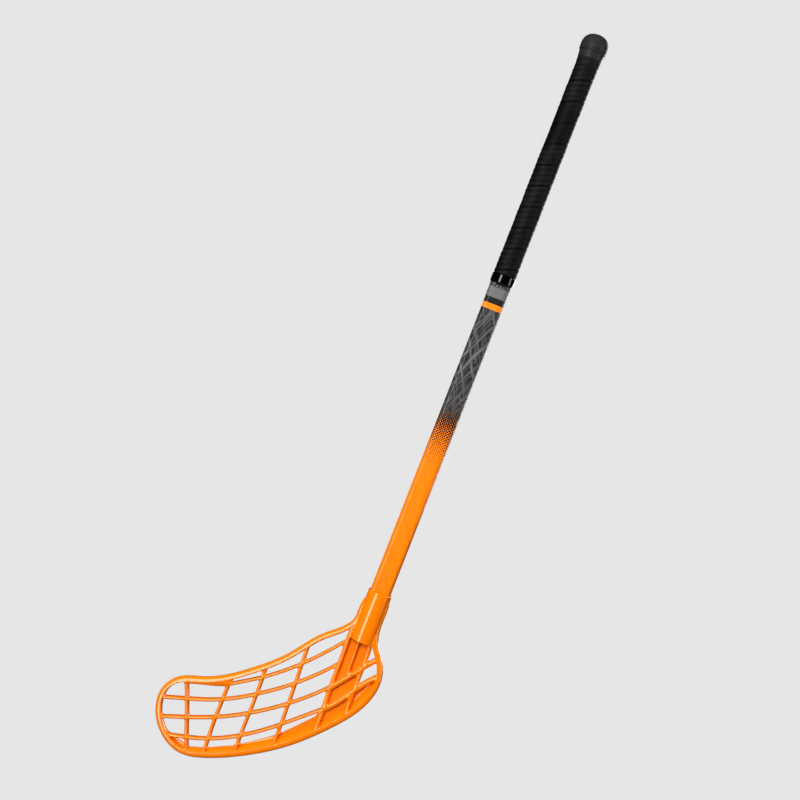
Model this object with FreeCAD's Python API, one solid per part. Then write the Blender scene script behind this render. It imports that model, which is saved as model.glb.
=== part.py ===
"""Floorball stick: a lattice blade screwed to a wound composite shaft with a taped grip.

Millimetres. +Z runs up the shaft to the butt, the toe of the blade points to -X and the
front of the blade, the side with the open pockets, looks to -Y. The origin is on the axis
of the shaft, at the middle of the hand grip.
"""

import FreeCAD
import Part

import math
import os

from FreeCAD import Vector

# Fits and cutting
FIT_GAP = 0.1
SEAT_GAP = 0.3
OVERRUN = 5.0

# Composite tube: round inside the socket and under the grip, flat-sided in between
TUBE_DIAMETER = 25.4
ROUND_FLAT = 0.2
SHAFT_WIDTH = 25.4
SHAFT_DEPTH = 19.0
SHAFT_CORNER = 5.6
SHAFT_WALL = 1.5
BARE_SHAFT_LENGTH = 401.0
SHAPING_LENGTH = 7.0

# Hand grip: one ribbed strip wound up the tube
GRIP_LENGTH = 278.0
TAPE_PITCH = 27.0
TAPE_SEAM = 0.6
TAPE_BASE = 1.0
RIDGE_HEIGHT = 0.6
RIDGE_COUNT = 4

# Glossy finishing collar under the grip, with its drawn-in foot
COLLAR_WALL = 1.1
COLLAR_HEIGHT = 13.6
COLLAR_FOOT_HEIGHT = 2.6
COLLAR_FOOT_WALL = 0.45
COLLAR_ROUND = 0.5

# Foil label under the collar
LABEL_HEIGHT = 13.0
LABEL_THICKNESS = 0.25

# Butt cap
CAP_DIAMETER = 33.7
CAP_SKIRT_HEIGHT = 9.2
CAP_SKIRT_FLARE = 0.9
CAP_LIP_HEIGHT = 1.8
CAP_BAND_HEIGHT = 6.6
CAP_DOME_HEIGHT = 14.2
CAP_CROWN = 12.0
CAP_STEM_LENGTH = 28.0
CAP_STEM_CHAMFER = 1.5
DOME_SHARES = [(1.0, 0.0), (0.965, 0.23), (0.88, 0.51), (0.69, 0.79), (0.38, 0.96), (0.0, 1.0)]

# Blade: overall sizes
BLADE_LENGTH = 289.0
TOE_HEIGHT = 102.0
SHAFT_LEAN = 21.4

# Blade: rim, ribs and back plate
RIM_DEPTH = 12.4
RIM_WIDTH = 7.0
RIM_ROUND = 4.0
LEDGE_WIDTH = 1.0
RIB_DEPTH = 9.4
RIB_WIDTH = 3.8
HEEL_RIB_WIDTH = 6.0
SIDE_RIB_WIDTH = 5.0
PANEL_RIB_WIDTH = 3.2
CELL_ROUND = 1.6
EDGE_EASE = 0.7
LEAST_CELL_WIDTH = 5.0
CHORD_SAG = 0.06
SHORT_EDGE = 0.8
SHARP_TURN = 25.0
ARC_SHARE = 0.45
PLATE_THICKNESS = 3.2
RAMP_RUN = 6.0
RAMP_RISE = 5.5

# Blade: socket for the shaft
SOCKET_WALL = 2.2
SOCKET_LENGTH = 64.8
SOCKET_FLOOR = 4.0
SOCKET_ROUND = 0.8

# Blade screws, on the back of the socket
SCREW_DIAMETER = 3.5
SCREW_LENGTH = 9.0
SCREW_TIP = 2.0
SCREW_HEAD_DIAMETER = 6.6
SCREW_HEAD_HEIGHT = 2.0
SCREW_HEAD_ROUND = 0.7
SCREW_SEAT_DEPTH = 0.9
SCREW_SLOT_WIDTH = 1.0
SCREW_SLOT_LENGTH = 3.6
SCREW_SLOT_DEPTH = 1.1
SCREW_DROP_SHARES = [0.28, 0.66]

# Outline of the blade, seen from its front. Along the socket the points are shares of the
# socket's radius across and of its length down; elsewhere they are shares of the blade's length
# from the toe and of the toe's height above the sole.
SOCKET_TOP_SHARE = (0.990, 2.074)
SOCKET_ZONE_SHARES = [(-1.3, -0.1), (1.3, -0.1), (1.0, 1.0), (-1.0, 1.0)]
TOE_FIN_SHARES = [(-0.65, 0.13), (-1.03, 0.2), (-1.15, 0.32), (-1.18, 0.48), (-1.2, 0.62)]
HEEL_FIN_SHARES = [(1.11, 0.68), (1.09, 0.42), (1.07, 0.2), (0.96, 0.12), (0.65, 0.08)]
RIM_SHARES = [
    (0.842, 1.676), (0.737, 1.555), (0.586, 1.303), (0.441, 1.131), (0.314, 1.026), (0.208, 0.995),
    (0.106, 0.988), (0.036, 0.870), (0.002, 0.621), (0.027, 0.285), (0.106, 0.057), (0.218, 0.000),
    (0.384, 0.039), (0.583, 0.172), (0.779, 0.417), (0.939, 0.736), (0.994, 1.004), (0.997, 1.242),
    (0.980, 1.462),
]

# Ribs along the blade, from the toe to the heel
TOP_RIB_SHARES = [
    (0.130, 0.925), (0.225, 0.918), (0.320, 0.911), (0.380, 0.944), (0.463, 0.998), (0.554, 1.078),
    (0.646, 1.182), (0.729, 1.297), (0.853, 1.498),
]
UPPER_RIB_SHARES = [
    (0.007, 0.736), (0.137, 0.721), (0.292, 0.722), (0.453, 0.802), (0.619, 0.945), (0.814, 1.209),
]
MIDDLE_RIB_SHARES = [
    (0.006, 0.494), (0.135, 0.491), (0.269, 0.503), (0.416, 0.564), (0.590, 0.696), (0.780, 0.925),
]
LOWER_RIB_SHARES = [
    (0.036, 0.275), (0.139, 0.245), (0.236, 0.236), (0.341, 0.267), (0.441, 0.331), (0.556, 0.438),
    (0.742, 0.645),
]
MIDDLE_HEEL_RIB_SHARES = [(0.773, 0.905), (0.854, 1.050), (0.917, 1.161), (0.981, 1.266)]
LOWER_HEEL_RIB_SHARES = [(0.744, 0.645), (0.843, 0.809), (0.882, 0.890), (0.981, 1.050)]

# Ribs across the blade, from the top rim to the sole
TOE_CROSS_SHARES = [(0.139, 0.965), (0.141, 0.705), (0.140, 0.485), (0.137, 0.036)]
CROSS_SHARES = [
    [(0.347, 1.019), (0.324, 0.896), (0.300, 0.727), (0.268, 0.505), (0.236, 0.245), (0.208, 0.019)],
    [(0.493, 1.151), (0.451, 0.807), (0.417, 0.564), (0.381, 0.310), (0.348, 0.034)],
    [(0.678, 1.419), (0.650, 1.192), (0.621, 0.949), (0.590, 0.697), (0.554, 0.417), (0.518, 0.135)],
]
PANEL_SIDE_SHARES = [
    (0.878, 1.715), (0.839, 1.405), (0.814, 1.209), (0.781, 0.967), (0.742, 0.645), (0.695, 0.297),
]
PANEL_MIDDLE_SHARES = [(0.903, 1.511), (0.841, 1.024)]
HEEL_CROSS_SHARES = [(0.954, 1.510), (0.916, 1.177), (0.885, 0.954), (0.838, 0.556)]

# Top edge of the back plate that closes the foot of the lattice, and the rest of its border
PLATE_EDGE_SHARES = [
    (0.000, 0.440), (0.076, 0.248), (0.126, 0.157), (0.152, 0.120), (0.219, 0.113), (0.341, 0.153),
    (0.429, 0.213), (0.542, 0.306), (0.703, 0.537), (0.742, 0.645), (0.781, 0.967), (0.839, 1.405),
]
PLATE_HEEL_SHARES = [
    (0.887, 1.696), (0.988, 1.694), (0.942, 1.410), (0.916, 1.177), (0.885, 0.907), (0.981, 1.035),
    (1.080, 1.030), (1.080, -0.200), (0.000, -0.200),
]

# Places along the axis of the shaft
GRIP_TOP_Z = GRIP_LENGTH / 2
GRIP_FOOT_Z = -GRIP_LENGTH / 2
COLLAR_TOP_Z = GRIP_FOOT_Z - SEAT_GAP
COLLAR_BAND_FOOT_Z = COLLAR_TOP_Z - COLLAR_HEIGHT
COLLAR_FOOT_Z = COLLAR_BAND_FOOT_Z - COLLAR_FOOT_HEIGHT
SOCKET_TOP_Z = COLLAR_FOOT_Z - BARE_SHAFT_LENGTH
SPIGOT_FOOT_Z = SOCKET_TOP_Z - SOCKET_LENGTH + SOCKET_FLOOR + SEAT_GAP
CAP_FOOT_Z = GRIP_TOP_Z + SEAT_GAP
CAP_LIP_Z = CAP_FOOT_Z + CAP_SKIRT_HEIGHT
CAP_SHOULDER_Z = CAP_LIP_Z + CAP_LIP_HEIGHT + CAP_BAND_HEIGHT
CAP_TOP_Z = CAP_SHOULDER_Z + CAP_DOME_HEIGHT
TUBE_TOP_Z = CAP_TOP_Z - CAP_CROWN - SEAT_GAP

# Radii and other sizes that follow from the ones above
TUBE_RADIUS = TUBE_DIAMETER / 2
TAPE_INNER_RADIUS = TUBE_RADIUS + SEAT_GAP
TAPE_BASE_RADIUS = TAPE_INNER_RADIUS + TAPE_BASE
TAPE_OUTER_RADIUS = TAPE_BASE_RADIUS + RIDGE_HEIGHT
CORNER_REACH = math.hypot(SHAFT_WIDTH / 2 - SHAFT_CORNER, SHAFT_DEPTH / 2 - SHAFT_CORNER) + SHAFT_CORNER
COLLAR_RADIUS = CORNER_REACH + COLLAR_WALL
SOCKET_BORE_RADIUS = TUBE_RADIUS + FIT_GAP
SOCKET_RADIUS = SOCKET_BORE_RADIUS + SOCKET_WALL
POCKET_FLOOR_Y = RIB_DEPTH / 2 - PLATE_THICKNESS

LEAN = math.radians(SHAFT_LEAN)
ACROSS_SHAFT = Vector(math.cos(LEAN), 0, -math.sin(LEAN))
DOWN_SHAFT = Vector(-math.sin(LEAN), 0, -math.cos(LEAN))
ALONG_Y = Vector(0, 1, 0)
ALONG_Z = Vector(0, 0, 1)
ORIGIN = Vector(0, 0, 0)


def line(start, end):
    return Part.LineSegment(start, end).toShape()


def smooth_edge(points):
    """One smooth edge through the points, or a straight one through two."""
    if len(points) == 2:
        return line(points[0], points[1])
    curve = Part.BSplineCurve()
    curve.interpolate(points)
    return curve.toShape()


def cylinder(radius, foot_z, top_z):
    return Part.makeCylinder(radius, top_z - foot_z, Vector(0, 0, foot_z))


def tube_section(z, width, depth, corner):
    """Rounded rectangle around the axis at one height: four sides and four corner arcs."""
    half_width = width / 2
    half_depth = depth / 2
    edges = []
    for quarter, (run, rise) in enumerate([(half_width, half_depth), (half_depth, half_width)] * 2):
        turn = FreeCAD.Rotation(ALONG_Z, 90 * quarter)
        centre = Vector(run - corner, rise - corner, z)
        bulge = corner * math.sqrt(0.5)
        side_foot = Vector(run, corner - rise, z)
        side_top = Vector(run, rise - corner, z)
        arc_middle = centre + Vector(bulge, bulge, 0)
        arc_end = centre + Vector(0, corner, 0)
        edges.append(line(turn.multVec(side_foot), turn.multVec(side_top)))
        arc = Part.Arc(turn.multVec(side_top), turn.multVec(arc_middle), turn.multVec(arc_end))
        edges.append(arc.toShape())
    return Part.Wire(edges)


def flat_sided_section(z, grow):
    return tube_section(z, SHAFT_WIDTH + 2 * grow, SHAFT_DEPTH + 2 * grow, SHAFT_CORNER + grow)


def round_section(z, grow):
    corner = TUBE_DIAMETER / 2 + grow - ROUND_FLAT * math.sqrt(0.5)
    width = 2 * corner + ROUND_FLAT
    return tube_section(z, width, width, corner)


def tube_body(grow, overrun):
    """The shaft's outside, grown or shrunk all round, and run past both ends."""
    sections = [
        round_section(SPIGOT_FOOT_Z - overrun, grow),
        round_section(SOCKET_TOP_Z - SHAPING_LENGTH, grow),
        flat_sided_section(SOCKET_TOP_Z, grow),
        flat_sided_section(COLLAR_FOOT_Z, grow),
        round_section(COLLAR_TOP_Z, grow),
        round_section(TUBE_TOP_Z + overrun, grow),
    ]
    return Part.makeLoft(sections, True, True)


def screw_places():
    """Where each blade screw's head seats on the back of the socket."""
    seat_y = SOCKET_RADIUS - SCREW_SEAT_DEPTH
    return [Vector(0, seat_y, SOCKET_TOP_Z - share * SOCKET_LENGTH) for share in SCREW_DROP_SHARES]


def screw_holes(diameter):
    reach = SOCKET_RADIUS + OVERRUN
    holes = []
    for seat in screw_places():
        holes.append(Part.makeCylinder(diameter / 2, reach, Vector(0, 0, seat.z), ALONG_Y))
    return holes


def make_shaft():
    """Hollow wound tube, drilled at the back for the two blade screws."""
    tube = tube_body(0, 0).cut(tube_body(-SHAFT_WALL, OVERRUN))
    return tube.cut(screw_holes(SCREW_DIAMETER + 2 * FIT_GAP))


def make_grip_tape():
    """Ribbed strip in one right-hand winding, trimmed square at the collar and at the cap."""
    width = TAPE_PITCH - TAPE_SEAM
    ridge = width / RIDGE_COUNT
    foot = -width / 2
    root_radius = TAPE_INNER_RADIUS - TAPE_BASE
    edges = [line(Vector(root_radius, 0, -foot), Vector(root_radius, 0, foot))]
    edges.append(line(Vector(root_radius, 0, foot), Vector(TAPE_BASE_RADIUS, 0, foot)))
    for count in range(RIDGE_COUNT):
        start = Vector(TAPE_BASE_RADIUS, 0, foot + count * ridge)
        crest = Vector(TAPE_OUTER_RADIUS, 0, foot + (count + 0.5) * ridge)
        end = Vector(TAPE_BASE_RADIUS, 0, foot + (count + 1) * ridge)
        edges.append(Part.Arc(start, crest, end).toShape())
    edges.append(line(Vector(TAPE_BASE_RADIUS, 0, -foot), Vector(root_radius, 0, -foot)))
    section = Part.Wire(edges)
    run = GRIP_LENGTH + 2 * TAPE_PITCH
    spine = Part.Wire(Part.makeHelix(TAPE_PITCH, run, TAPE_BASE_RADIUS).Edges)
    sweep = Part.BRepOffsetAPI.MakePipeShell(spine)
    sweep.setBiNormalMode(ALONG_Z)
    sweep.add(section)
    sweep.build()
    sweep.makeSolid()
    strip = sweep.shape()
    strip.translate(Vector(0, 0, -run / 2))
    past_end = run / 2 + TAPE_PITCH
    core = cylinder(TAPE_INNER_RADIUS, -past_end, past_end)
    below = cylinder(TAPE_OUTER_RADIUS + OVERRUN, -past_end, GRIP_FOOT_Z)
    above = cylinder(TAPE_OUTER_RADIUS + OVERRUN, GRIP_TOP_Z, past_end)
    return strip.cut([core, below, above])


def print_tape_gap():
    """Least gap between neighbouring turns, measured on points of their two edges."""
    width = TAPE_PITCH - TAPE_SEAM
    steps = 96
    lower_edge = []
    upper_edge = []
    for step in range(steps):
        turn = step / steps
        around = Vector(math.cos(2 * math.pi * turn), math.sin(2 * math.pi * turn), 0) * TAPE_BASE_RADIUS
        rise = turn * TAPE_PITCH
        upper_edge.append(around + ALONG_Z * (rise + width / 2))
        lower_edge.append(around + ALONG_Z * (rise + TAPE_PITCH - width / 2))
    least = min(low.distanceToPoint(high) for low in lower_edge for high in upper_edge)
    print("least gap between the turns of the grip tape: %.2f mm" % least)


def make_grip_collar():
    """Glossy finishing band over the end of the winding, drawn in to the flat-sided shaft at its foot."""
    band = cylinder(COLLAR_RADIUS, COLLAR_BAND_FOOT_Z, COLLAR_TOP_Z)
    band = band.makeFillet(COLLAR_ROUND, [edge for edge in band.Edges if edge.Closed])
    foot_face = Part.Face(flat_sided_section(COLLAR_FOOT_Z, FIT_GAP + COLLAR_FOOT_WALL))
    foot = foot_face.extrude(ALONG_Z * (COLLAR_FOOT_HEIGHT + COLLAR_ROUND))
    return band.fuse(foot).cut(tube_body(FIT_GAP, 0)).removeSplitter()


def make_foil_label():
    """Thin foil wrapped once round the flat-sided shaft, just under the collar."""
    foot_z = COLLAR_FOOT_Z - SEAT_GAP - LABEL_HEIGHT
    outside = Part.Face(flat_sided_section(foot_z, FIT_GAP + LABEL_THICKNESS))
    inside = Part.Face(flat_sided_section(foot_z, FIT_GAP))
    return outside.cut(inside).extrude(ALONG_Z * LABEL_HEIGHT)


def make_butt_cap():
    """Turned cap: domed knob, lip, flared skirt outside the tube and a stem inside it."""
    knob_radius = CAP_DIAMETER / 2
    skirt_top_radius = TAPE_OUTER_RADIUS + CAP_SKIRT_FLARE
    sleeve_radius = TUBE_RADIUS + FIT_GAP
    stem_radius = TUBE_RADIUS - SHAFT_WALL - FIT_GAP
    stem_foot_z = TUBE_TOP_Z - CAP_STEM_LENGTH
    sleeve_top_z = TUBE_TOP_Z + SEAT_GAP
    dome = []
    for across, up in DOME_SHARES:
        dome.append(Vector(across * knob_radius, 0, CAP_SHOULDER_Z + up * CAP_DOME_HEIGHT))
    corners = [
        dome[0],
        Vector(knob_radius, 0, CAP_LIP_Z + CAP_LIP_HEIGHT),
        Vector(skirt_top_radius, 0, CAP_LIP_Z),
        Vector(TAPE_OUTER_RADIUS, 0, CAP_FOOT_Z),
        Vector(sleeve_radius, 0, CAP_FOOT_Z),
        Vector(sleeve_radius, 0, sleeve_top_z),
        Vector(stem_radius, 0, sleeve_top_z),
        Vector(stem_radius, 0, stem_foot_z + CAP_STEM_CHAMFER),
        Vector(stem_radius - CAP_STEM_CHAMFER, 0, stem_foot_z),
        Vector(0, 0, stem_foot_z),
        dome[-1],
    ]
    edges = [line(start, end) for start, end in zip(corners, corners[1:])]
    curve = Part.BSplineCurve()
    curve.interpolate(Points=dome, InitialTangent=ALONG_Z, FinalTangent=Vector(-1, 0, 0))
    edges.append(curve.toShape())
    profile = Part.Face(Part.Wire(Part.sortEdges(edges)[0]))
    return profile.revolve(ORIGIN, ALONG_Z, 360)


def blade_point(share):
    """A point of the flat blade, from shares of its length and of the toe's height."""
    return Vector(share[0] * BLADE_LENGTH, 0, share[1] * TOE_HEIGHT)


SOCKET_TOP = blade_point(SOCKET_TOP_SHARE)


def socket_point(share):
    """A point beside the socket, from shares of its radius across and of its length down."""
    return SOCKET_TOP + ACROSS_SHAFT * (share[0] * SOCKET_RADIUS) + DOWN_SHAFT * (share[1] * SOCKET_LENGTH)


def polygon_face(points):
    return Part.Face(Part.makePolygon(points + [points[0]]))


def outline_face():
    """Outer edge of the blade, from one fin of the socket round the toe to the other fin and across."""
    points = [socket_point(share) for share in TOE_FIN_SHARES]
    points += [blade_point(share) for share in RIM_SHARES]
    points += [socket_point(share) for share in HEEL_FIN_SHARES]
    curve = Part.BSplineCurve()
    curve.interpolate(Points=points, PeriodicFlag=True)
    return Part.Face(Part.Wire([curve.toShape()]))


def rib_face(shares, width):
    """A strip of even width along a smooth line through the points."""
    middle = smooth_edge([blade_point(share) for share in shares])
    steps = 4 * (len(shares) - 1)
    one_side = []
    other_side = []
    for step in range(steps + 1):
        place = middle.FirstParameter + (middle.LastParameter - middle.FirstParameter) * step / steps
        along = middle.tangentAt(place)
        aside = Vector(-along.z, 0, along.x) * (width / 2)
        one_side.append(middle.valueAt(place) + aside)
        other_side.append(middle.valueAt(place) - aside)
    return Part.Face(Part.Wire([
        smooth_edge(one_side),
        line(one_side[-1], other_side[-1]),
        smooth_edge(other_side[::-1]),
        line(other_side[0], one_side[0]),
    ]))


def rib_faces():
    ribs = [TOP_RIB_SHARES, UPPER_RIB_SHARES, MIDDLE_RIB_SHARES, LOWER_RIB_SHARES, TOE_CROSS_SHARES]
    faces = [rib_face(shares, RIB_WIDTH) for shares in ribs + CROSS_SHARES]
    faces.append(rib_face(MIDDLE_HEEL_RIB_SHARES, HEEL_RIB_WIDTH))
    faces.append(rib_face(LOWER_HEEL_RIB_SHARES, HEEL_RIB_WIDTH))
    faces.append(rib_face(PANEL_SIDE_SHARES, SIDE_RIB_WIDTH))
    faces.append(rib_face(HEEL_CROSS_SHARES, SIDE_RIB_WIDTH))
    faces.append(rib_face(PANEL_MIDDLE_SHARES, PANEL_RIB_WIDTH))
    return faces


def cell_corners(face):
    """Points round a cell: the ends of its edges, and points between them where an edge is curved."""
    points = []
    for edge in face.OuterWire.OrderedEdges:
        run = edge.discretize(Deflection=CHORD_SAG)
        if edge.Orientation == "Reversed":
            run = run[::-1]
        for point in run[:-1]:
            if not points or point.distanceToPoint(points[-1]) > SHORT_EDGE:
                points.append(point)
    if points[0].distanceToPoint(points[-1]) < SHORT_EDGE:
        points.pop()
    return points


def grown(corners, distance):
    """The corners of a cell with all its sides moved outward alike."""
    sides = list(zip(corners, corners[1:] + corners[:1]))
    spin = math.copysign(1, sum(start.cross(end).y for start, end in sides))
    outward = []
    for start, end in sides:
        along = (end - start).normalize()
        outward.append(Vector(-along.z, 0, along.x) * spin)
    moved = []
    for corner, before, after in zip(corners, outward[-1:] + outward[:-1], outward):
        moved.append(corner + (before + after) * (distance / (1 + before.dot(after))))
    return moved


def rounded_wire(corners, corner_round):
    """Straight sides from corner to corner, with an arc at each sharp turn."""
    turns = []
    for before, corner, after in zip(corners[-1:] + corners[:-1], corners, corners[1:] + corners[:1]):
        back = before - corner
        ahead = after - corner
        half = back.getAngle(ahead) / 2
        if math.degrees(math.pi - 2 * half) < SHARP_TURN:
            turns.append([corner])
            continue
        draw_in = min(corner_round / math.tan(half), back.Length * ARC_SHARE, ahead.Length * ARC_SHARE)
        radius = draw_in * math.tan(half)
        start = corner + back.normalize() * draw_in
        end = corner + ahead.normalize() * draw_in
        inward = (back + ahead).normalize()
        turns.append([start, corner + inward * (math.hypot(radius, draw_in) - radius), end])
    edges = []
    for turn, following in zip(turns, turns[1:] + turns[:1]):
        if len(turn) > 1:
            edges.append(Part.Arc(turn[0], turn[1], turn[2]).toShape())
        edges.append(line(turn[-1], following[0]))
    return Part.Wire(edges)


def wide_cells(shape):
    """The corners of every cell; slivers too narrow to mould are left closed."""
    wide = [face for face in shape.Faces if face.Area > LEAST_CELL_WIDTH * face.Length / 4]
    return [cell_corners(face) for face in wide]


def place_blade(shape):
    """From the flat blade's own frame to the stick's: the lean taken out, the socket on the axis."""
    placed = shape.copy()
    placed.rotate(SOCKET_TOP, ALONG_Y, -SHAFT_LEAN)
    placed.translate(Vector(0, 0, SOCKET_TOP_Z) - SOCKET_TOP)
    return placed


def prism(face, front_y, back_y):
    """A flat face of the blade run from one depth to another, placed on the stick."""
    solid = face.extrude(ALONG_Y * (back_y - front_y))
    solid.translate(ALONG_Y * front_y)
    return place_blade(solid)


def cell_tool(corners, through):
    """Cutter for one cell, from the front of the ribs to their back or to the back plate's floor.

    Its edges are bevelled where it opens on the ribs.
    """
    past = (LEDGE_WIDTH - EDGE_EASE) / 2
    wall = rounded_wire(corners, CELL_ROUND)
    wide = rounded_wire(grown(corners, EDGE_EASE + past), CELL_ROUND + EDGE_EASE + past)
    mouth_y = RIB_DEPTH / 2 + past
    wall_y = RIB_DEPTH / 2 - EDGE_EASE
    levels = [(wide, -mouth_y), (wall, -wall_y)]
    levels += [(wall, wall_y), (wide, mouth_y)] if through else [(wall, POCKET_FLOOR_Y)]
    sections = []
    for wire, y in levels:
        section = wire.copy()
        section.translate(ALONG_Y * y)
        sections.append(section)
    return place_blade(Part.makeLoft(sections, True, True))


def rim_body(outline):
    """The whole blade as one plate with its outer edge rounded on both sides."""
    plate = prism(outline, -RIM_DEPTH / 2, RIM_DEPTH / 2)
    return plate.makeFillet(RIM_ROUND, [edge for edge in plate.Edges if edge.Closed])


def sole_ramp(face, start_share, end_share):
    """Sloped foot of a closed pocket: a wedge along the sole, between two ribs."""
    along = blade_point(end_share) - blade_point(start_share)
    along.normalize()
    inward = Vector(-along.z, 0, along.x)
    border = [point for edge in face.Edges for point in edge.discretize(12)]
    lowest = min(point.dot(inward) for point in border)
    first = min(point.dot(along) for point in border)
    last = max(point.dot(along) for point in border)

    def corner(up, y):
        return inward * (lowest + up) + along * (first - OVERRUN) + ALONG_Y * y

    slope = RAMP_RISE / RAMP_RUN
    wedge = polygon_face([
        corner(-OVERRUN, POCKET_FLOOR_Y - RAMP_RISE - OVERRUN * slope),
        corner(RAMP_RUN, POCKET_FLOOR_Y),
        corner(RAMP_RUN, POCKET_FLOOR_Y + OVERRUN),
        corner(-OVERRUN, POCKET_FLOOR_Y + OVERRUN),
    ])
    return place_blade(wedge.extrude(along * (last - first + 2 * OVERRUN)))


def pocket_tools(cells):
    """Cutters for the cells that the back plate closes, with their sloped feet along the sole."""
    crossings = [TOE_CROSS_SHARES] + CROSS_SHARES + [PANEL_SIDE_SHARES, HEEL_CROSS_SHARES]
    feet = [shares[-1] for shares in crossings] + [RIM_SHARES[-3]]
    tools = []
    for corners in cells:
        pocket = polygon_face(corners)
        tool = cell_tool(corners, False)
        for start, end in zip(feet, feet[1:]):
            run = blade_point(end) - blade_point(start)
            offset = pocket.CenterOfMass - blade_point(start)
            above = (offset - run * (offset.dot(run) / run.dot(run))).Length
            beside = 0 < offset.dot(run) < run.dot(run)
            if beside and above < 2 * (RIM_WIDTH + RAMP_RUN):
                tool = tool.cut(sole_ramp(pocket, start, end))
        tools.append(tool)
    return tools


def make_blade():
    """One moulding: rim, lattice, back plate and socket, open where the lattice is open."""
    outline = outline_face()
    inside = outline.makeOffset2D(-RIM_WIDTH)
    socket_zone = polygon_face([socket_point(share) for share in SOCKET_ZONE_SHARES])
    cells = inside.cut(rib_faces() + [socket_zone])
    plate = polygon_face([blade_point(share) for share in PLATE_EDGE_SHARES + PLATE_HEEL_SHARES])
    windows = [cell_tool(corners, True) for corners in wide_cells(cells.cut(plate))]
    pockets = pocket_tools(wide_cells(cells.common(plate)))
    lattice = polygon_face(cell_corners(outline.makeOffset2D(LEDGE_WIDTH - RIM_WIDTH))).cut(socket_zone)
    steps = [prism(lattice, -RIM_DEPTH, -RIB_DEPTH / 2), prism(lattice, RIB_DEPTH / 2, RIM_DEPTH)]
    body = rim_body(outline).cut(steps).cut(windows).cut(pockets)
    socket = cylinder(SOCKET_RADIUS, SOCKET_TOP_Z - SOCKET_LENGTH, SOCKET_TOP_Z)
    socket = socket.makeFillet(SOCKET_ROUND, [edge for edge in socket.Edges if edge.Closed])
    bore = cylinder(SOCKET_BORE_RADIUS, SOCKET_TOP_Z - SOCKET_LENGTH + SOCKET_FLOOR, SOCKET_TOP_Z + OVERRUN)
    mouth_foot = Vector(0, 0, SOCKET_TOP_Z - SHAPING_LENGTH)
    mouth_slope = (CORNER_REACH - TUBE_RADIUS) / SHAPING_LENGTH
    mouth_top_radius = SOCKET_BORE_RADIUS + mouth_slope * (SHAPING_LENGTH + OVERRUN)
    mouth = Part.makeCone(SOCKET_BORE_RADIUS, mouth_top_radius, SHAPING_LENGTH + OVERRUN, mouth_foot)
    seats = []
    for seat in screw_places():
        seats.append(Part.makeCylinder(SCREW_HEAD_DIAMETER / 2 + SEAT_GAP, SOCKET_RADIUS, seat, ALONG_Y))
    holes = screw_holes(SCREW_DIAMETER + 2 * FIT_GAP)
    return body.fuse(socket).cut([bore, mouth] + seats + holes)


def make_blade_screws():
    """Two pan-head screws, each with a crossed slot, seated on the back of the socket."""
    screws = []
    for seat in screw_places():
        head = Part.makeCylinder(SCREW_HEAD_DIAMETER / 2, SCREW_HEAD_HEIGHT, seat, ALONG_Y)
        top_y = seat.y + SCREW_HEAD_HEIGHT
        circles = [edge for edge in head.Edges if edge.Closed]
        top_rim = max(circles, key=lambda circle: circle.CenterOfMass.y)
        head = head.makeFillet(SCREW_HEAD_ROUND, [top_rim])
        thread_length = SCREW_LENGTH - SCREW_TIP
        thread = Part.makeCylinder(SCREW_DIAMETER / 2, thread_length, seat, ALONG_Y * -1)
        tip = Part.makeCone(SCREW_DIAMETER / 2, 0, SCREW_TIP, seat - ALONG_Y * thread_length, ALONG_Y * -1)
        slots = []
        crossed = [(SCREW_SLOT_LENGTH, SCREW_SLOT_WIDTH), (SCREW_SLOT_WIDTH, SCREW_SLOT_LENGTH)]
        for length, height in crossed:
            corner = Vector(-length / 2, top_y - SCREW_SLOT_DEPTH, seat.z - height / 2)
            slots.append(Part.makeBox(length, SCREW_SLOT_DEPTH + OVERRUN, height, corner))
        screws.append(head.fuse([thread, tip]).cut(slots).removeSplitter())
    return Part.makeCompound(screws)


def main():
    os.makedirs("parts", exist_ok=True)
    pieces = {
        "shaft": make_shaft(),
        "blade": make_blade(),
        "blade_screws": make_blade_screws(),
        "grip_tape": make_grip_tape(),
        "grip_collar": make_grip_collar(),
        "foil_label": make_foil_label(),
        "butt_cap": make_butt_cap(),
    }
    for name, shape in pieces.items():
        shape.exportStep("parts/%s.step" % name)
        print("%s: %d solids, %.0f mm3" % (name, len(shape.Solids), shape.Volume))
    print_tape_gap()


main()
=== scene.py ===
# %% [markdown]
# # A floorball stick, dressed
# The CAD part gives every size. This lesson adds what the CAD leaves out: soft edges on the moulded
# blade, a ribbed and wrinkled grip, and the colour and gloss of each material. Every piece here stands
# for one CAD node, so it sits exactly where that node sits.

import math

import bmesh
import bpy
from mathutils import Matrix, Vector, noise


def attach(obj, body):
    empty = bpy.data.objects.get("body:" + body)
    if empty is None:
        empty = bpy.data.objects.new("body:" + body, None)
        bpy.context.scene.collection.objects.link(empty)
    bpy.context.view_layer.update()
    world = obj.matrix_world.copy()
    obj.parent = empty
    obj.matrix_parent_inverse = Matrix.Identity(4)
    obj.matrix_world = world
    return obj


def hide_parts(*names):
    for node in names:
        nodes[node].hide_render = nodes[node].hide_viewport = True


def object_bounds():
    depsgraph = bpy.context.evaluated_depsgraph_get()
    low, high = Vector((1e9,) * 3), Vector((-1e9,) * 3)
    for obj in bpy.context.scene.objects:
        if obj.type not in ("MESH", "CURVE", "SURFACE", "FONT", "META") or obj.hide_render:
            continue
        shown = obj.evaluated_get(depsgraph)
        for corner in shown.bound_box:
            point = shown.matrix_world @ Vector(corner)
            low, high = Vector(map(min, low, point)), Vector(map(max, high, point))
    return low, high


MM = 0.001

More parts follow.
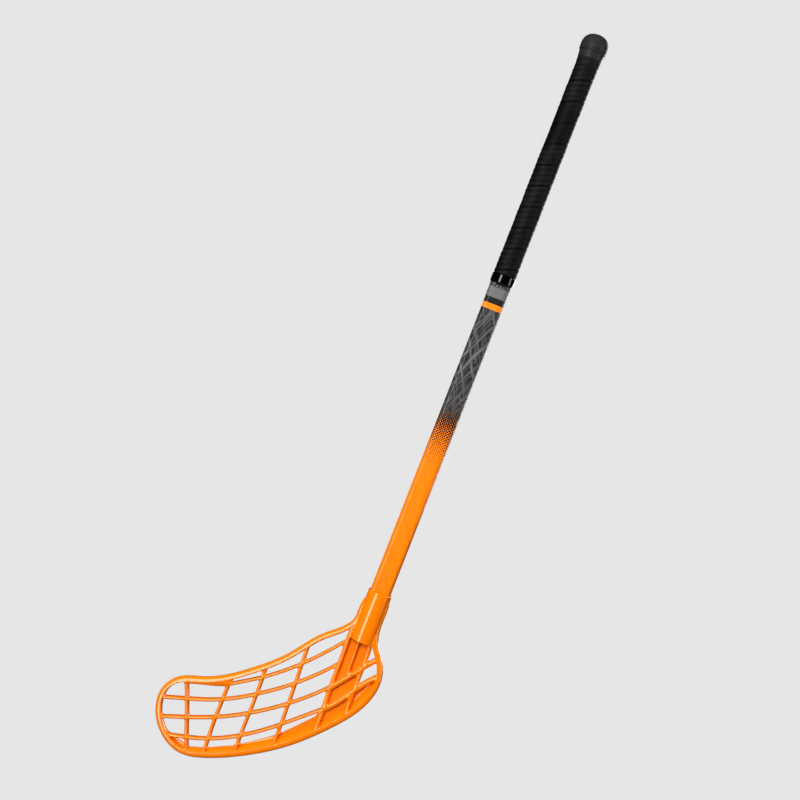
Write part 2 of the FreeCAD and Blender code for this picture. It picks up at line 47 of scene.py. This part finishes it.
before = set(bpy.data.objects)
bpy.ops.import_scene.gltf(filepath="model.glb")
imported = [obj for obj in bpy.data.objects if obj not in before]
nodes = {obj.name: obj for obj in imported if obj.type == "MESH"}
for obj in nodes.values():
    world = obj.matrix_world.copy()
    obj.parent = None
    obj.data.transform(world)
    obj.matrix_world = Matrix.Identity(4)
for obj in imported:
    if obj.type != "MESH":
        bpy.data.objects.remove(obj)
cad_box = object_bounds()
print("CAD nodes:", ", ".join(sorted(nodes)))

# %% [markdown]
# ## Materials from a script
# A material could be clicked together in the shader editor. In a script it is shorter to start from the
# Principled shader, which every new material has, and to add the few nodes that a pattern needs. One
# function adds a node of any kind. It sets or links the node's inputs in their order, and where it is
# given a whole node, it takes that node's first working output. Colours are written as sRGB hex, as a
# colour picker shows them, and turned into linear light.


# %% Material helpers
def hex_colour(text):
    """The linear colour of an sRGB hex value, by the sRGB standard's own curve."""
    channels = [int(text[start:start + 2], 16) / 255 for start in (1, 3, 5)]
    linear = [c / 12.92 if c <= 0.04045 else ((c + 0.055) / 1.055) ** 2.4 for c in channels]
    return (*linear, 1.0)


def new_material(name, colour, roughness, metallic=0.0, specular=0.5):
    """A material, its node tree and its Principled shader, with the main values set."""
    material = bpy.data.materials.new(name)
    material.use_nodes = True
    tree = material.node_tree
    shader = tree.nodes["Principled BSDF"]
    shader.inputs["Base Color"].default_value = hex_colour(colour)
    shader.inputs["Roughness"].default_value = roughness
    shader.inputs["Metallic"].default_value = metallic
    shader.inputs["Specular IOR Level"].default_value = specular
    return material, tree, shader


def output_of(source):
    """A node's first working output; anything else is returned as it is."""
    if isinstance(source, bpy.types.Node):
        return next(socket for socket in source.outputs if socket.enabled)
    return source


def add_node(tree, kind, *inputs, **settings):
    """A new node with its settings, and with its inputs set or linked in their order."""
    node = tree.nodes.new("ShaderNode" + kind)
    for name, value in settings.items():
        setattr(node, name, value)
    for socket, source in zip([socket for socket in node.inputs if socket.enabled], inputs):
        source = output_of(source)
        if isinstance(source, bpy.types.NodeSocket):
            tree.links.new(source, socket)
        else:
            socket.default_value = source
    return node


# %% [markdown]
# ## Pieces
# A mesh shows only when an object in the scene holds it. Every new piece here is linked to the scene, rides
# on the stick's one body, hides the CAD node that it stands for, and names the slot of its material.


# %% Pieces
def show_piece(name, mesh, material, node):
    """A piece that stands for one CAD node and moves with the stick."""
    mesh.materials.clear()
    mesh.materials.append(material)
    mesh.shade_smooth()
    piece = bpy.data.objects.new(name, mesh)
    bpy.context.scene.collection.objects.link(piece)
    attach(piece, "root")
    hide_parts(node)
    print(name, "stands for", node, "with", len(mesh.polygons), "faces")


# %% [markdown]
# ## Soft shading
# A moulding has no sharp edges, and neither has a wound tube. The CAD solids already have the bevels and
# rounds, but as flat facets. A Bevel modifier would cut them up again, so the copies made here keep the
# CAD shape, and only their normals change: the shading turns smoothly over each bevel and round. The
# normal at a corner is the mean of the flat regions that meet there. A narrow region, such as the crest
# of a rib, counts once, so that it looks crowned. A wide one outweighs the narrow ones beside it, so that
# it stays flat, and two wide ones meet in a sharp edge. The round socket gets true round normals.

# %% Soft copies of CAD nodes
SAME_PLANE = math.cos(math.radians(0.3))
SOFT_TURN = math.cos(math.radians(50))
NARROW = 4.5 * MM
WIDE_WEIGHT = 1000
MERGE = 0.001 * MM
SOCKET_RADIUS = 15.0 * MM
SOCKET_FOOT = -622.0 * MM
SOCKET_SLACK = 0.03 * MM


def flat_regions(shape):
    """For each face, a number for its flat region, and whether that region is narrow."""
    regions = {}
    for number, seed in enumerate(shape.faces):
        if seed in regions:
            continue
        region = {seed}
        queue = [seed]
        while queue:
            face = queue.pop()
            for edge in face.edges:
                for other in edge.link_faces:
                    if other not in region and other.normal.dot(face.normal) > SAME_PLANE:
                        region.add(other)
                        queue.append(other)
        area = sum(face.calc_area() for face in region)
        border = 0.0
        for face in region:
            for edge in face.edges:
                if any(other not in region for other in edge.link_faces):
                    border += edge.calc_length()
        for face in region:
            regions[face] = number, 2 * area < NARROW * border
    return regions


def on_socket(face, point):
    """Whether a face's corner lies on the round outside of the socket."""
    radial = Vector((point.x, point.y, 0))
    on_round = abs(radial.length - SOCKET_RADIUS) < SOCKET_SLACK and point.z > SOCKET_FOOT
    return on_round and face.normal.dot(radial) > SOFT_TURN * radial.length


def soft_normal(corner, regions):
    """The mean normal at one corner of a face."""
    face, place = corner.face, corner.vert.co
    if on_socket(face, place):
        return Vector((place.x, place.y, 0)).normalized()
    own, own_narrow = regions[face]
    total = Vector()
    counted = set()
    for other in corner.vert.link_faces:
        number, narrow = regions[other]
        soft = number == own or narrow or own_narrow
        if soft and number not in counted and other.normal.dot(face.normal) > SOFT_TURN:
            counted.add(number)
            total += other.normal * (1 if narrow else WIDE_WEIGHT)
    return total.normalized()


def soft_piece(name, node, material):
    """A copy of a CAD node with soft shading, shown in its place."""
    mesh = nodes[node].data.copy()
    mesh.name = name
    shape = bmesh.new()
    shape.from_mesh(mesh)
    bmesh.ops.remove_doubles(shape, verts=shape.verts, dist=MERGE)
    shape.normal_update()
    regions = flat_regions(shape)
    normals = [soft_normal(corner, regions) for face in shape.faces for corner in face.loops]
    shape.to_mesh(mesh)
    shape.free()
    show_piece(name, mesh, material, node)
    mesh.normals_split_custom_set(normals)


# %% [markdown]
# ## Blade
# The blade is one orange moulding with an open lattice. Its cells could be cut again in Blender, but they
# are all in the CAD solid, so a soft copy of it is enough.

# %% Blade
# Injection-moulded polyethylene, plain orange: a smooth, slightly waxy gloss with warm highlights
blade_plastic, _, shader = new_material("moulded_polyethylene", "#FF7E00", roughness=0.17, specular=1.0)
shader.inputs["Specular Tint"].default_value = hex_colour("#FFECD0")
soft_piece("blade_moulding", "blade", blade_plastic)

# %% [markdown]
# ## Shaft
# The shaft is one tube, wound from strands and lacquered. Going up from the blade it is orange, then a
# field of growing dots turns it black, and a thin orange band runs round it under the label. The strands
# show through as pale streaks on two slants. An image could be wrapped round the tube, but a pattern made
# of nodes stays sharp at any size. It is drawn on the unrolled tube: angle times radius across, and
# height along. A noise that is stretched along a slant makes the streaks, and a regular Voronoi pattern,
# turned by 45 degrees, makes the dots.

# %% Shaft
TUBE_RADIUS = 12.7 * MM
BAND_TOP = -176.4 * MM
BAND_FOOT = -183.4 * MM
BLACK_FOOT = -292.0 * MM
ORANGE_TOP = -392.0 * MM
INK_RUN = 40.0 * MM
DOT_PITCH = 2.7 * MM
DOT_TURN = math.radians(45)
DOT_GROWTH = 0.7
DOT_LARGEST = 0.75
STRAND_WIDTH = 3.6 * MM
STRAND_SLIMNESS = 14
STRAND_LENGTH = STRAND_SLIMNESS * STRAND_WIDTH
STRAND_SLANT = math.radians(27)
STRAND_DETAIL = 2.0
STRAND_SEEDS = 3.0, 8.0
STRAND_PALE_FROM = 0.45
STRAND_PALE_TO = 0.78
ORIGIN = (0, 0, 0)
ALONG_Z = (0, 0, 1)


def strands(tree, unrolled, slant, seed):
    """Streaks that run up the tube at a slant, as a number from 0 to 1."""
    turned = add_node(tree, "VectorRotate", unrolled, ORIGIN, ALONG_Z, slant)
    fineness = (1 / STRAND_WIDTH, 1 / STRAND_LENGTH, 0)
    place = add_node(tree, "VectorMath", turned, fineness, (0, 0, seed), operation="MULTIPLY_ADD")
    texture = add_node(tree, "TexNoise", place, 1.0, STRAND_DETAIL)
    return add_node(tree, "MapRange", texture, STRAND_PALE_FROM, STRAND_PALE_TO)


def dotted(tree, unrolled, z):
    """1 inside a dot and 0 between the dots, which grow up the shaft until they touch."""
    turned = add_node(tree, "VectorRotate", unrolled, ORIGIN, ALONG_Z, DOT_TURN)
    dots = add_node(tree, "TexVoronoi", turned, 1 / DOT_PITCH, voronoi_dimensions="2D")
    dots.inputs["Randomness"].default_value = 0.0
    height = add_node(tree, "MapRange", z, ORANGE_TOP, BLACK_FOOT)
    growth = add_node(tree, "Math", height, DOT_GROWTH, operation="POWER")
    size = add_node(tree, "Math", growth, DOT_LARGEST, operation="MULTIPLY")
    return add_node(tree, "Math", dots, size, operation="LESS_THAN")


def shaft_lacquer():
    # Carbon composite under clear lacquer: an even gloss, with the strands seen through it
    material, tree, shader = new_material("lacquered_composite", "#202020", roughness=0.22, specular=0.3)
    x, y, z = add_node(tree, "SeparateXYZ", add_node(tree, "TexCoord").outputs["Object"]).outputs
    angle = add_node(tree, "Math", y, x, operation="ARCTAN2")
    round_the_tube = add_node(tree, "Math", angle, TUBE_RADIUS, operation="MULTIPLY")
    unrolled = add_node(tree, "CombineXYZ", round_the_tube, z)
    streaks = add_node(tree, "Math", strands(tree, unrolled, STRAND_SLANT, STRAND_SEEDS[0]),
                       strands(tree, unrolled, -STRAND_SLANT, STRAND_SEEDS[1]), operation="MAXIMUM")
    carbon = add_node(tree, "Mix", streaks, hex_colour("#222222"), hex_colour("#707070"), data_type="RGBA")
    orange = add_node(tree, "Mix", streaks, hex_colour("#FF7E00"), hex_colour("#F07000"), data_type="RGBA")
    depth = add_node(tree, "MapRange", z, BLACK_FOOT, BLACK_FOOT - INK_RUN)
    ink = add_node(tree, "Mix", depth, carbon, hex_colour("#161616"), data_type="RGBA")
    fade = add_node(tree, "Mix", dotted(tree, unrolled, z), orange, ink, data_type="RGBA")
    above_fade = add_node(tree, "Math", z, BLACK_FOOT, operation="GREATER_THAN")
    colour = add_node(tree, "Mix", above_fade, fade, carbon, data_type="RGBA")
    above_band = add_node(tree, "Math", z, BAND_TOP, operation="GREATER_THAN")
    colour = add_node(tree, "Mix", above_band, colour, hex_colour("#1E1E1E"), data_type="RGBA")
    from_band = add_node(tree, "Math", z, BAND_FOOT, operation="GREATER_THAN")
    in_band = add_node(tree, "Math", from_band, above_band, operation="SUBTRACT")
    colour = add_node(tree, "Mix", in_band, colour, hex_colour("#FF7F10"), data_type="RGBA")
    tree.links.new(output_of(colour), shader.inputs["Base Color"])
    return material


soft_piece("shaft_tube", "shaft", shaft_lacquer())

# %% [markdown]
# ## Turned pieces
# The grip, its collar and the butt cap are all round. Blender's Spin turns a profile of points round the
# shaft's axis, as a potter's wheel does. A profile that starts on the axis makes a closed knob, and one
# that starts away from it is closed into a ring. Each point may then be moved to a radius of its own.


# %% Turning
def turned_mesh(name, profile, columns, reach=None):
    """Spins a profile of (radius, height) points; reach gives each point's own radius."""
    shape = bmesh.new()
    points = [shape.verts.new((radius, 0, z)) for radius, z in profile]
    pairs = list(zip(points, points[1:]))
    if profile[0][0] > 0:
        pairs.append((points[-1], points[0]))
    edges = [shape.edges.new(pair) for pair in pairs]
    bmesh.ops.spin(shape, geom=points + edges, cent=ORIGIN, axis=ALONG_Z, angle=2 * math.pi, steps=columns,
                   use_merge=True)
    bmesh.ops.remove_doubles(shape, verts=shape.verts, dist=MERGE)
    if reach:
        for point in shape.verts:
            radius = math.hypot(point.co.x, point.co.y)
            angle = math.atan2(point.co.y, point.co.x) % (2 * math.pi)
            share = reach(radius, angle, point.co.z) / radius
            point.co = Vector((point.co.x * share, point.co.y * share, point.co.z))
    bmesh.ops.recalc_face_normals(shape, faces=shape.faces)
    mesh = bpy.data.meshes.new(name)
    shape.to_mesh(mesh)
    shape.free()
    return mesh


# %% [markdown]
# ## Grip
# One ribbed strip is wound up the tube in a right-hand helix, edge to edge. It could be a profile swept
# along a helix, as in the CAD, but then wear and wrinkles would be hard to add. Here it is a turned sleeve
# with fine rows. Every point of the sleeve knows how far it lies across the strip: 0 at the strip's lower
# edge, 1 at its upper edge. That share gives the four ridges and the seam. Noise wears the ridges and
# wrinkles the strip, two turns are nearly plain, and the top flares out under the cap.

# %% Grip sizes
GRIP_TOP = 139.0 * MM
GRIP_FOOT = -139.0 * MM
GRIP_GAP = 0.3 * MM
GRIP_BORE = TUBE_RADIUS + GRIP_GAP
TAPE_PITCH = 27.0 * MM
TAPE_MIDDLE = -4.0 * MM
TAPE_RIDGES = 4
TAPE_BASE_RADIUS = 13.85 * MM
TAPE_RIDGE = 0.5 * MM
RIDGE_ROUND = 2.4
RIDGE_DRIFT = 0.05
RIDGE_DRIFTS_PER_TURN = 2.3
RIDGE_DRIFT_RUN = TAPE_PITCH / RIDGE_DRIFTS_PER_TURN
TAPE_SEAM = 0.45 * MM
TAPE_SEAM_SHARE = 0.045
TAPE_ROW = 0.45 * MM
TAPE_COLUMNS = 112
WEAR_MEAN = 0.75
WEAR_SWING = 0.9
WEAR_LEAST = 0.1
WEAR_RUN = 22.0 * MM
WEAR_FINENESS = 1.3
WRINKLE = 0.16 * MM
WRINKLE_RUN = 2.2 * MM
WRINKLE_ROUND = 3.5
WRINKLE_LEAN = 1.9
PLAIN_FOOT = 28.0 * MM
PLAIN_TOP = 75.0 * MM
PLAIN_RUN = 6.0 * MM
PLAIN_SHARE = 0.9
FLARE = 0.7 * MM
FLARE_LENGTH = 9.0 * MM
FLARE_BLEND = 3
END_ROUND = 0.5 * MM

# %% [markdown]
# Noise that is read on a circle meets itself again after one turn. The wrinkles also lean along the
# winding, so they have one faint seam, on the heel side.


# %% Grip shape
def on_circle(radius, angle, height):
    """Where to read the noise for one angle, so that a full turn ends where it began."""
    return Vector((radius * math.cos(angle), radius * math.sin(angle), height))


def ridge_wear(angle, z):
    """How much of the ridge's height is left at one place."""
    left = WEAR_MEAN + WEAR_SWING * noise.noise(on_circle(1, angle, z / WEAR_RUN) * WEAR_FINENESS)
    plain = min(max((z - PLAIN_FOOT) / PLAIN_RUN, 0.0), max((PLAIN_TOP - z) / PLAIN_RUN, 0.0), 1.0)
    return min(max(left, WEAR_LEAST), 1.0) * (1 - PLAIN_SHARE * plain)


def tape_radius(radius, angle, z):
    """The winding's radius at one angle and height; the bore keeps its own."""
    if radius < (GRIP_BORE + TAPE_BASE_RADIUS) / 2:
        return radius
    across = ((z - TAPE_MIDDLE) / TAPE_PITCH - angle / (2 * math.pi) + 0.5) % 1.0
    drift = RIDGE_DRIFT * noise.noise(Vector((0, 0, z / RIDGE_DRIFT_RUN)))
    off_crest = abs(2 * (((across + drift) * TAPE_RIDGES) % 1.0) - 1)
    ridge = TAPE_RIDGE * ridge_wear(angle, z) * (1 - off_crest ** RIDGE_ROUND)
    seam = TAPE_SEAM * max(0.0, 1 - min(across, 1 - across) / TAPE_SEAM_SHARE)
    creased = z / WRINKLE_RUN - angle * WRINKLE_LEAN
    wrinkle = WRINKLE * noise.noise(on_circle(WRINKLE_ROUND, angle, creased))
    flare = max(0.0, 1 - (GRIP_TOP - z) / FLARE_LENGTH)
    outside = TAPE_BASE_RADIUS + (ridge - seam + wrinkle) * (1 - flare ** FLARE_BLEND) + FLARE * flare
    return outside - END_ROUND * max(0.0, 1 - (z - GRIP_FOOT) / END_ROUND) ** 2


def grip_mesh():
    rows = round((GRIP_TOP - GRIP_FOOT) / TAPE_ROW)
    heights = [GRIP_FOOT + (GRIP_TOP - GRIP_FOOT) * row / rows for row in range(rows + 1)]
    profile = [(TAPE_BASE_RADIUS, z) for z in heights] + [(GRIP_BORE, GRIP_TOP), (GRIP_BORE, GRIP_FOOT)]
    return turned_mesh("grip_winding", profile, TAPE_COLUMNS, tape_radius)


# %% [markdown]
# The strip's colour carries painted shade and light from its relief: the hollows are painted darker, as
# if they held no light, and the crests lighter, so the colour goes with the distance from the axis.

# %% Grip rubber
# Radii over which the painted shade in the hollows gives way to the painted light on the crests
RELIEF_SHADE_FROM = 13.7 * MM
RELIEF_SHADE_TO = 14.4 * MM


def grip_rubber():
    # Soft black polyurethane strip, embossed: dull, with a little gloss, painted shade in the hollows and
    # painted light on the crests
    material, tree, shader = new_material("embossed_polyurethane", "#2B2B2B", roughness=0.6, specular=0.2)
    x, y, _ = add_node(tree, "SeparateXYZ", add_node(tree, "TexCoord").outputs["Object"]).outputs
    radius = add_node(tree, "VectorMath", add_node(tree, "CombineXYZ", x, y), operation="LENGTH")
    crest = add_node(tree, "MapRange", radius, RELIEF_SHADE_FROM, RELIEF_SHADE_TO)
    # Painted shade and light: near black in the hollows, lighter grey on the crests
    colour = add_node(tree, "Mix", crest, hex_colour("#010101"), hex_colour("#141414"), data_type="RGBA")
    tree.links.new(output_of(colour), shader.inputs["Base Color"])
    return material


show_piece("grip_winding", grip_mesh(), grip_rubber(), "grip_tape")

# %% [markdown]
# ## Finishing collar
# A glossy film holds the lower end of the winding. It is round over the winding and drawn in, with small
# creases, to the flat-sided shaft below it. Cloth simulation could shrink it on, but a turned ring is
# quicker: its radius goes from a circle to the shaft's own outline, and a sine makes the creases.

# %% Collar
COLLAR_TOP = -139.3 * MM
COLLAR_BAND_FOOT = -149.8 * MM
COLLAR_FOOT = -155.5 * MM
COLLAR_RADIUS = 14.75 * MM
COLLAR_BORE = TUBE_RADIUS
COLLAR_COLUMNS = 144
COLLAR_ROWS = 40
COLLAR_FILM = 0.55 * MM
COLLAR_GAP = 0.05 * MM
DRAW_LEAD = 0.8 * MM
DRAW_START = COLLAR_BAND_FOOT + DRAW_LEAD
DRAW_RUN = 2.6 * MM
CREASES = 17
CREASE_DEPTH = 0.22 * MM
CREASE_DRIFT = 2
CREASE_DRIFT_FINENESS = 2
RIPPLE = 0.08 * MM
RIPPLE_RUN = 3.0 * MM
RIPPLE_ROUND = 2
TOP_ROUND = 0.4 * MM
TOP_ROUND_RUN = 0.8 * MM
SHAFT_HALF_WIDTH = 12.7 * MM
SHAFT_HALF_DEPTH = 9.5 * MM
SHAFT_CORNER = 5.6 * MM
TINY = 1e-9


def shaft_reach(angle):
    """Distance from the axis to the flat-sided shaft's surface, at one angle round it."""
    ahead = Vector((abs(math.cos(angle)), abs(math.sin(angle))))
    centre = Vector((SHAFT_HALF_WIDTH - SHAFT_CORNER, SHAFT_HALF_DEPTH - SHAFT_CORNER))
    on_side = SHAFT_HALF_WIDTH / max(ahead.x, TINY)
    if ahead.y * on_side <= centre.y:
        return on_side
    on_face = SHAFT_HALF_DEPTH / max(ahead.y, TINY)
    if ahead.x * on_face <= centre.x:
        return on_face
    middle = ahead.dot(centre)
    return middle + math.sqrt(middle ** 2 - centre.length_squared + SHAFT_CORNER ** 2)


def collar_radius(radius, angle, z):
    """The film's radius at one angle and height; the bore follows the shaft."""
    if radius < (COLLAR_BORE + COLLAR_RADIUS) / 2:
        return shaft_reach(angle) + COLLAR_GAP
    share = min(max((DRAW_START - z) / DRAW_RUN, 0.0), 1.0)
    drawn = share * share * (3 - 2 * share)  # eases in and out
    foot = shaft_reach(angle) + COLLAR_FILM
    drift = CREASE_DRIFT * noise.noise(Vector((CREASE_DRIFT_FINENESS * angle, 0, 1)))
    crease = CREASE_DEPTH * drawn * math.sin(CREASES * angle + drift)
    ripple = RIPPLE * noise.noise(on_circle(RIPPLE_ROUND, angle, z / RIPPLE_RUN))
    top_round = TOP_ROUND * max(0.0, 1 - (COLLAR_TOP - z) / TOP_ROUND_RUN) ** 2
    # A crease only draws the film in, so the outward half of its wave is left out
    return COLLAR_RADIUS * (1 - drawn) + foot * drawn + min(crease, 0.0) + ripple - top_round


def collar_mesh():
    rise = (COLLAR_TOP - COLLAR_FOOT) / COLLAR_ROWS
    profile = [(COLLAR_RADIUS, COLLAR_FOOT + rise * row) for row in range(COLLAR_ROWS + 1)]
    profile += [(COLLAR_BORE, COLLAR_TOP), (COLLAR_BORE, COLLAR_FOOT)]
    return turned_mesh("collar_film", profile, COLLAR_COLUMNS, collar_radius)


def collar_vinyl():
    # Stretched black vinyl film: mirror-like where it is thick, and greyer where it is drawn thin
    material, tree, shader = new_material("stretched_vinyl", "#030303", roughness=0.08, specular=0.6)
    z = add_node(tree, "SeparateXYZ", add_node(tree, "TexCoord").outputs["Object"]).outputs["Z"]
    thin = add_node(tree, "MapRange", z, COLLAR_BAND_FOOT, COLLAR_BAND_FOOT - DRAW_RUN)
    colour = add_node(tree, "Mix", thin, hex_colour("#030303"), hex_colour("#404040"), data_type="RGBA")
    tree.links.new(output_of(colour), shader.inputs["Base Color"])
    return material


show_piece("collar_film", collar_mesh(), collar_vinyl(), "grip_collar")

# %% [markdown]
# ## Label and screws
# The label is a strip of foil round the shaft, and two screws hold the blade from behind. Their CAD shapes
# are complete, so these nodes only get their materials. The foil is brushed round the shaft, and a noise
# that changes along the shaft alone makes its fine lines.

# %% Label and screws
BRUSH_LINE = 0.33 * MM


def give(node, material):
    mesh = nodes[node].data
    mesh.materials.clear()
    mesh.materials.append(material)
    print(node, "keeps its CAD shape and gets", material.name)


def label_foil():
    # Aluminium foil under a matt print layer: an even grey with a soft sheen
    material, tree, shader = new_material("matt_foil", "#5F5F5F", roughness=0.4)
    z = add_node(tree, "SeparateXYZ", add_node(tree, "TexCoord").outputs["Object"]).outputs["Z"]
    brushed = add_node(tree, "TexNoise", add_node(tree, "CombineXYZ", 0.0, 0.0, z), 1 / BRUSH_LINE)
    colour = add_node(tree, "Mix", brushed, hex_colour("#5A5A5A"), hex_colour("#646464"), data_type="RGBA")
    tree.links.new(output_of(colour), shader.inputs["Base Color"])
    return material


give("foil_label", label_foil())
# Zinc-plated steel: pale grey, with a blurred reflection
screw_steel = new_material("zinc_plated_steel", "#B0B0B2", roughness=0.35, metallic=0.5)[0]
give("blade_screws", screw_steel)

# %% [markdown]
# ## Butt cap
# The cap is one rubber moulding that closes the top of the tube: a skirt, a fine bead with a groove over
# it, and a domed knob. It could be a sphere on a cylinder, but its outline is easier to read from a turned
# profile. The skirt and the bead are given point by point, as radius and height, and the dome is a
# quarter of a fuller ellipse.

# %% Cap
# These sizes stay in millimetres until the outline is spun
CAP_FLOOR = 160.0
CAP_TOP = 171.0
CAP_OUTLINE = [
    (13.00, 139.20), (14.50, 139.20), (14.78, 140.20), (15.10, 143.20), (15.45, 146.40), (15.66, 148.20),
    (15.72, 148.60), (16.30, 148.80), (16.70, 149.20), (16.83, 149.80), (16.70, 150.40), (16.34, 150.80),
    (16.10, 151.05), (16.30, 151.35), (16.62, 151.90), (16.80, 153.00), (16.83, 154.60), (16.78, 156.90),
]
CAP_BORE = CAP_OUTLINE[0][0]
DOME_RADIUS, CAP_SHOULDER = CAP_OUTLINE[-1]
DOME_FULLNESS = 0.8
DOME_STEPS = 24
CAP_COLUMNS = 128


def cap_mesh():
    outline = [(0.0, CAP_FLOOR), (CAP_BORE, CAP_FLOOR)] + CAP_OUTLINE
    for step in range(1, DOME_STEPS):
        turn = math.pi / 2 * step / DOME_STEPS
        height = CAP_SHOULDER + (CAP_TOP - CAP_SHOULDER) * math.sin(turn)
        outline.append((DOME_RADIUS * math.cos(turn) ** DOME_FULLNESS, height))
    outline.append((0.0, CAP_TOP))
    return turned_mesh("cap_knob", [(radius * MM, z * MM) for radius, z in outline], CAP_COLUMNS)


# Moulded black rubber: dull, with a soft wide shine on the dome
cap_rubber = new_material("moulded_rubber", "#232323", roughness=0.45, specular=0.25)[0]
show_piece("cap_knob", cap_mesh(), cap_rubber, "butt_cap")

# %% [markdown]
# ## Camera
# The camera stands where the photograph was taken from: a little to the heel side of the blade and a
# little above it, turned so that the stick leans in the picture. The focal length was worked out in pixels
# of the picture, and the lens is given in millimetres of the sensor.

# %% Camera
IMAGE_SIDE = 800
FOCAL_PIXELS = 1417
SENSOR_WIDTH = 36.0
TARGET = Vector((-64.2 * MM, 0, -326.9 * MM))
CAMERA_AZIMUTH = 7.0
CAMERA_ELEVATION = 3.0
CAMERA_DISTANCE = 1.7433
CAMERA_ROLL = 21.29
scene = bpy.context.scene


def direction(azimuth, elevation):
    """From the stick towards a place round it: azimuth 0 is in front, 90 is on the +X side."""
    turn, rise = math.radians(azimuth), math.radians(elevation)
    return Vector((math.sin(turn) * math.cos(rise), -math.cos(turn) * math.cos(rise), math.sin(rise)))


def aim(obj, azimuth, elevation, distance, roll=0.0):
    """Puts a camera or a light in its place and turns it towards the stick."""
    place = TARGET + direction(azimuth, elevation) * distance
    turn = (TARGET - place).to_track_quat("-Z", "Y").to_matrix().to_4x4()
    obj.matrix_world = Matrix.Translation(place) @ turn @ Matrix.Rotation(math.radians(roll), 4, "Z")


camera_data = bpy.data.cameras.new("camera")
camera_data.sensor_width = SENSOR_WIDTH
camera_data.lens = SENSOR_WIDTH * FOCAL_PIXELS / IMAGE_SIDE
camera = bpy.data.objects.new("camera", camera_data)
scene.collection.objects.link(camera)
aim(camera, CAMERA_AZIMUTH, CAMERA_ELEVATION, CAMERA_DISTANCE, CAMERA_ROLL)
scene.camera = camera
scene.view_settings.view_transform = "Standard"
print("lens", round(camera_data.lens, 1), "mm, distance", CAMERA_DISTANCE, "m")

# %% [markdown]
# ## Stage
# The floor and the surroundings are one plain pale grey, as in the photograph. A lit floor would throw its
# own light on the stick, so the floor only shows its colour. The world shows the same grey to the camera,
# and lights the stick with a soft gradient that is bright above and to the left.

# %% Stage
PALE_GREY = "#E6E6E6"
GLOSS_GREY = "#101010"
FLOOR_HALF = 4.0
SKY_TURN = 35.0
SKY_LEAN = math.radians(CAMERA_ROLL + SKY_TURN)
SKY_UP = (-math.sin(SKY_LEAN), 0, math.cos(SKY_LEAN))
# Strengths of the soft light from below and from above, the same in all colours
SKY_LOW = (0.0, 0.0, 0.0, 1.0)
SKY_HIGH = (0.6, 0.6, 0.6, 1.0)

world = bpy.data.worlds.new("studio")
world.use_nodes = True
sky = world.node_tree
rays = add_node(sky, "LightPath")
ahead = add_node(sky, "TexCoord").outputs["Generated"]
rise = add_node(sky, "VectorMath", ahead, SKY_UP, operation="DOT_PRODUCT")
share = add_node(sky, "MapRange", rise, -1.0, 1.0)
soft = add_node(sky, "Mix", share, SKY_LOW, SKY_HIGH, data_type="RGBA")
lit = add_node(sky, "Mix", rays.outputs["Is Glossy Ray"], soft, hex_colour(GLOSS_GREY), data_type="RGBA")
seen = add_node(sky, "Mix", rays.outputs["Is Camera Ray"], lit, hex_colour(PALE_GREY), data_type="RGBA")
sky.links.new(output_of(seen), sky.nodes["Background"].inputs["Color"])
scene.world = world

shape = bmesh.new()
bmesh.ops.create_grid(shape, x_segments=1, y_segments=1, size=FLOOR_HALF)
bmesh.ops.translate(shape, verts=shape.verts, vec=(0, 0, cad_box[0][2]))
floor_mesh = bpy.data.meshes.new("floor")
shape.to_mesh(floor_mesh)
shape.free()
floor = bpy.data.objects.new("floor", floor_mesh)
scene.collection.objects.link(floor)
floor_paint, _, shader = new_material("floor_paint", "#000000", roughness=1.0, specular=0.0)
shader.inputs["Emission Color"].default_value = hex_colour(PALE_GREY)
shader.inputs["Emission Strength"].default_value = 1.0
floor_mesh.materials.append(floor_paint)
floor.visible_diffuse = False
floor.visible_glossy = False
print("floor at", round(cad_box[0][2], 4), "m")

# %% [markdown]
# ## Lights
# Five soft area lights: a tall strip at the left draws the long highlights on the shaft and the socket, a
# small one in front lights the blade's face, a wide one above lights the tops of the ribs, a weak one
# fills the right side, and one behind lights the back. The ones in front and above only give soft light:
# mirrored in the glossy ribs they would draw white lines, so they are hidden from reflections.

# %% Lights
# Name, azimuth and elevation in degrees, distance, width and height in metres, power in watts, mirrored
LIGHTS = [
    ("strip_light", -22, -6, 2.2, 0.65, 2.6, 36, True),
    ("soft_light", -8, 20, 2.2, 0.5, 0.5, 26, False),
    ("top_light", -14, 62, 1.8, 1.3, 1.0, 20, False),
    ("side_light", 80, 10, 2.2, 0.6, 2.0, 12, True),
    ("back_light", 155, 15, 2.2, 0.8, 2.0, 30, True),
]

for name, azimuth, elevation, distance, width, height, power, mirrored in LIGHTS:
    data = bpy.data.lights.new(name, "AREA")
    data.shape = "RECTANGLE"
    data.size = width
    data.size_y = height
    data.energy = power
    light = bpy.data.objects.new(name, data)
    light.visible_glossy = mirrored
    scene.collection.objects.link(light)
    aim(light, azimuth, elevation, distance)
    print(name, power, "W")
